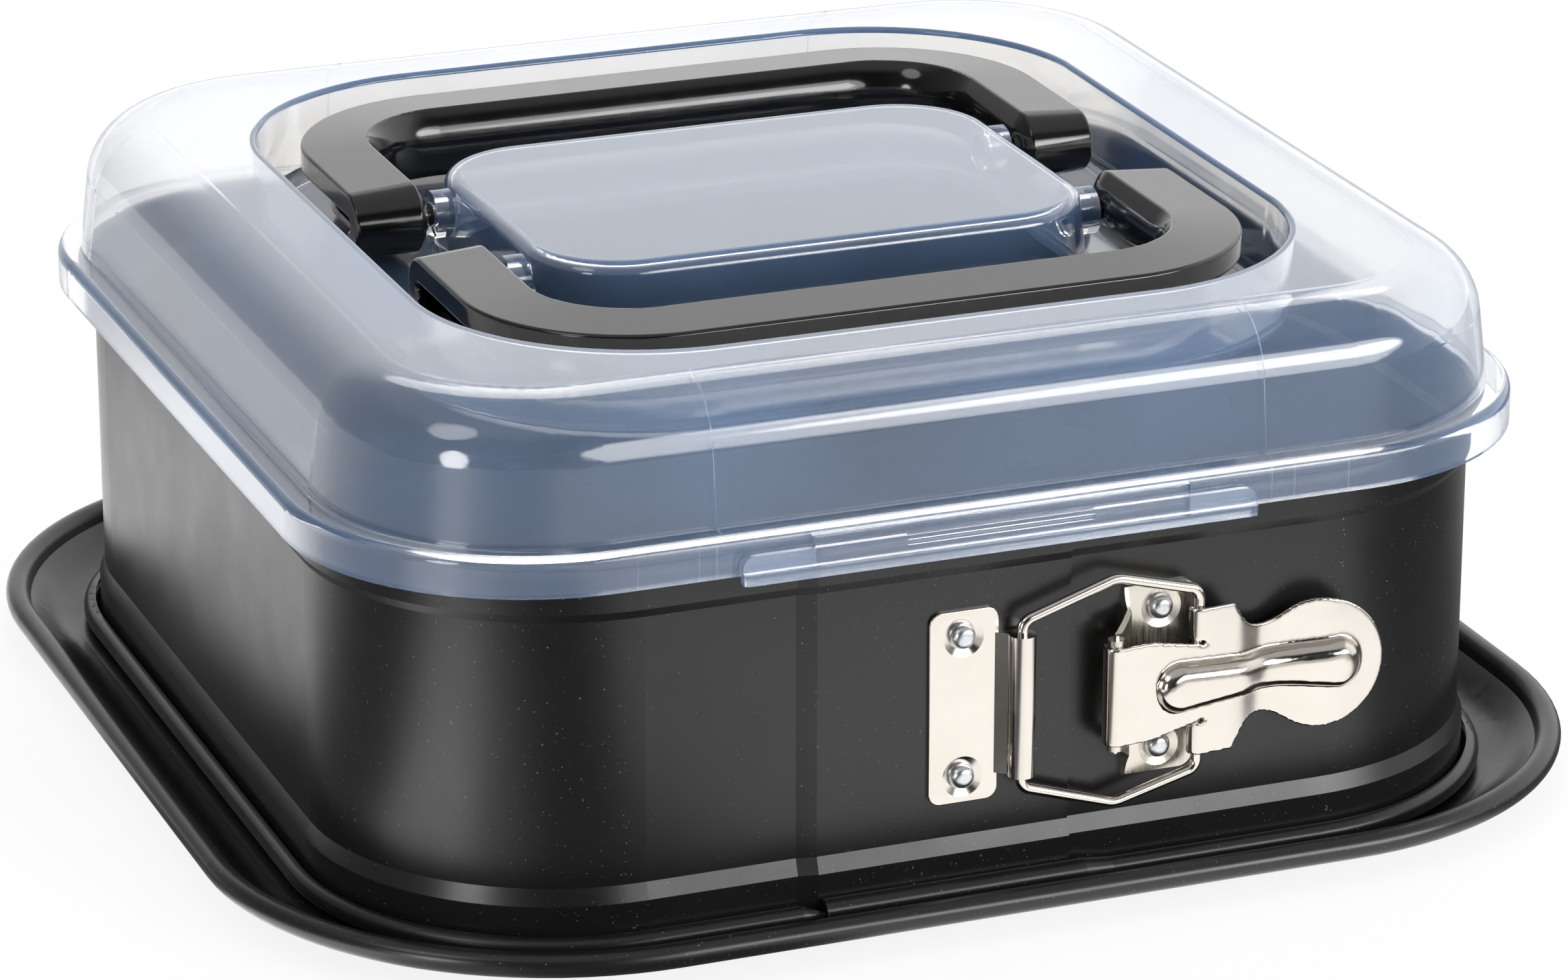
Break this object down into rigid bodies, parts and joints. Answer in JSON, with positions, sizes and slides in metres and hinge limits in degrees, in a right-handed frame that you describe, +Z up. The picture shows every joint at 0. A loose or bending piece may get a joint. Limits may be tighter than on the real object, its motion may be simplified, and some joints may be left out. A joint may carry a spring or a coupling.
{
  "type": "springform pan with cover",
  "caption": "Square springform baking pan with a serving base, toggle latch and a translucent clip-on cover with folding carrying handles.",
  "frame": {"origin": "middle of the base's underside, on the surface it stands on", "axes": "+Z up, the closing latch on the -Y side, +X to the right when facing the latch"},
  "size_m": [0.286, 0.286, 0.1114],
  "materials": {
    "coated_steel": "satin non-stick coating",
    "nickel": "satin nickel plate",
    "bracket_steel": "brushed",
    "rivet_metal": "satin",
    "cover_plastic": "translucent satin",
    "handle_plastic": "gloss"
  },
  "bodies": {
    "pan": {"base_plate": "coated_steel", "ring_band": "coated_steel", "hinge_plate": "nickel", "hinge_plate_rivets": "rivet_metal", "lever_bracket": "bracket_steel", "bracket_rivets": "rivet_metal"},
    "bail": {"wire_bail": "nickel"},
    "lever": {"latch_lever": "nickel"},
    "lid": {"cover": "cover_plastic"},
    "clip_front": {"front_clip": "cover_plastic"},
    "clip_rear": {"rear_clip": "cover_plastic"},
    "handle_front": {"front_handle": "handle_plastic"},
    "handle_rear": {"rear_handle": "handle_plastic"}
  },
  "joints": [
    {"name": "cover_lift", "type": "slide", "parent": "pan", "child": "lid", "axis": [0, 0, 1], "range_m": [0, 0.12]},
    {"name": "lever_fold", "type": "hinge", "parent": "pan", "child": "lever", "pos_m": [0.0238, -0.1278, 0.0412], "axis": [0, 0, -1], "range_deg": [0, 150]},
    {"name": "bail_swing", "type": "hinge", "parent": "pan", "child": "bail", "pos_m": [0.0049, -0.126, 0.0412], "axis": [0, 0, -1], "range_deg": [0, 45]},
    {"name": "front_clip_flex", "type": "hinge", "parent": "lid", "child": "clip_front", "pos_m": [0, -0.1273, 0.0824], "axis": [-1, 0, 0], "range_deg": [0, 80]},
    {"name": "rear_clip_flex", "type": "hinge", "parent": "lid", "child": "clip_rear", "pos_m": [0, 0.1273, 0.0824], "axis": [1, 0, 0], "range_deg": [0, 80]},
    {"name": "front_handle_fold", "type": "hinge", "parent": "lid", "child": "handle_front", "pos_m": [0, -0.023, 0.1036], "axis": [-1, 0, 0], "range_deg": [0, 105]},
    {"name": "rear_handle_fold", "type": "hinge", "parent": "lid", "child": "handle_rear", "pos_m": [0, 0.023, 0.1036], "axis": [1, 0, 0], "range_deg": [0, 105]}
  ],
  "couplings": [
    {"joint": "bail_swing", "follows": "lever_fold", "ratio": 0.3}
  ]
}
